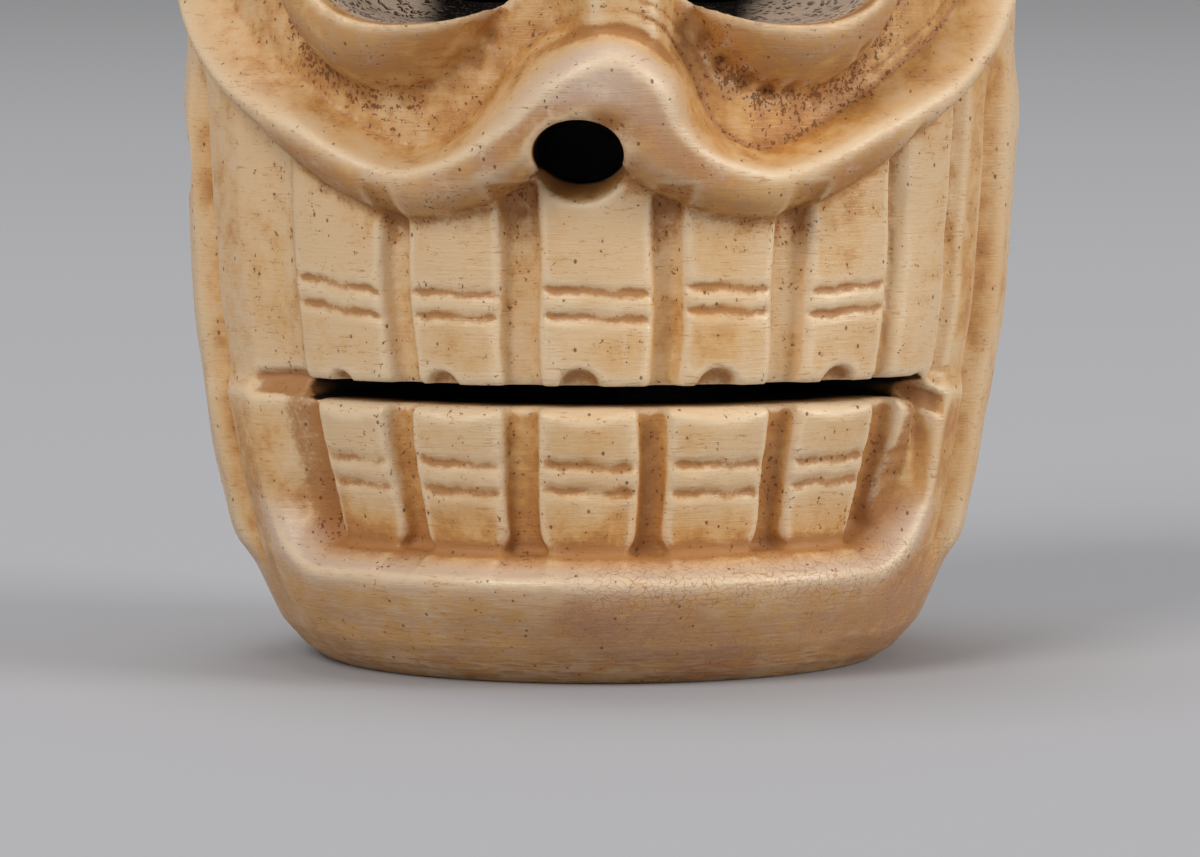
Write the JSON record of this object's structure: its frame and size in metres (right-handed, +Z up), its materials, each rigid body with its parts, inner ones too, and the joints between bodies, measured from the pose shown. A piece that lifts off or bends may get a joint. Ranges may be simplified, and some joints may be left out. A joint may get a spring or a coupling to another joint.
{
  "type": "carved skull ornament",
  "caption": "Small hollow skull carved from one length of bone, with ringed eye sockets, an arched nose, a sawn mouth between scored teeth and an open base it stands on.",
  "frame": {"origin": "middle of the bounding box on the plane the open base stands on", "axes": "+Z up from the base to the crown, -Y out of the face, +X towards the skull's left, which is the right of a picture of its face"},
  "size_m": [0.0304, 0.0324, 0.042],
  "materials": {
    "bone": "hand-carved bone, satin polish, brown stain in the recesses"
  },
  "bodies": {
    "root": {"carved_skull": "bone"}
  },
  "joints": []
}
